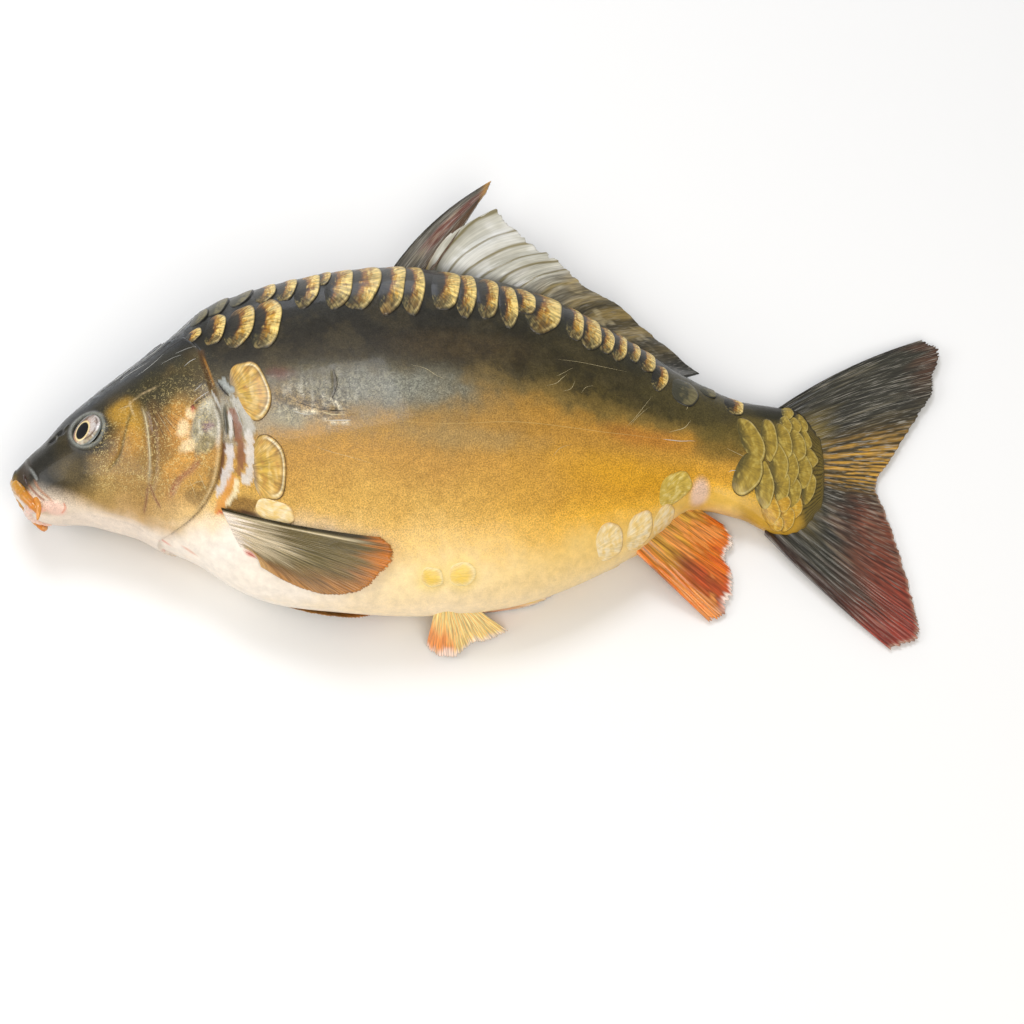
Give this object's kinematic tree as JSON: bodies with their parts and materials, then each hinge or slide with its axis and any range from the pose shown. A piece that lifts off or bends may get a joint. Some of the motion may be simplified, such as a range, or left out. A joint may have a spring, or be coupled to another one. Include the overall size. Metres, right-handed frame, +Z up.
{
  "type": "whole raw fish",
  "caption": "Whole raw mirror carp lying on its right flank, with deep body, big scales along the back, gill cover, barbels and all fins.",
  "frame": {"origin": "middle of the flat patch of the right flank on which the trunk rests", "axes": "+X from snout to tail, +Y from belly to back, +Z up out of the left flank"},
  "size_m": [0.4537, 0.2435, 0.0728],
  "materials": {
    "skin": "wet, slimy fish skin, olive back and golden flank",
    "scale": "gold scale plate under clear wet skin",
    "fin": "thin wet web over horny rays",
    "eye": "clear wet cornea over a gold-ringed black pupil"
  },
  "bodies": {
    "root": {"fish": "skin"}
  },
  "joints": []
}
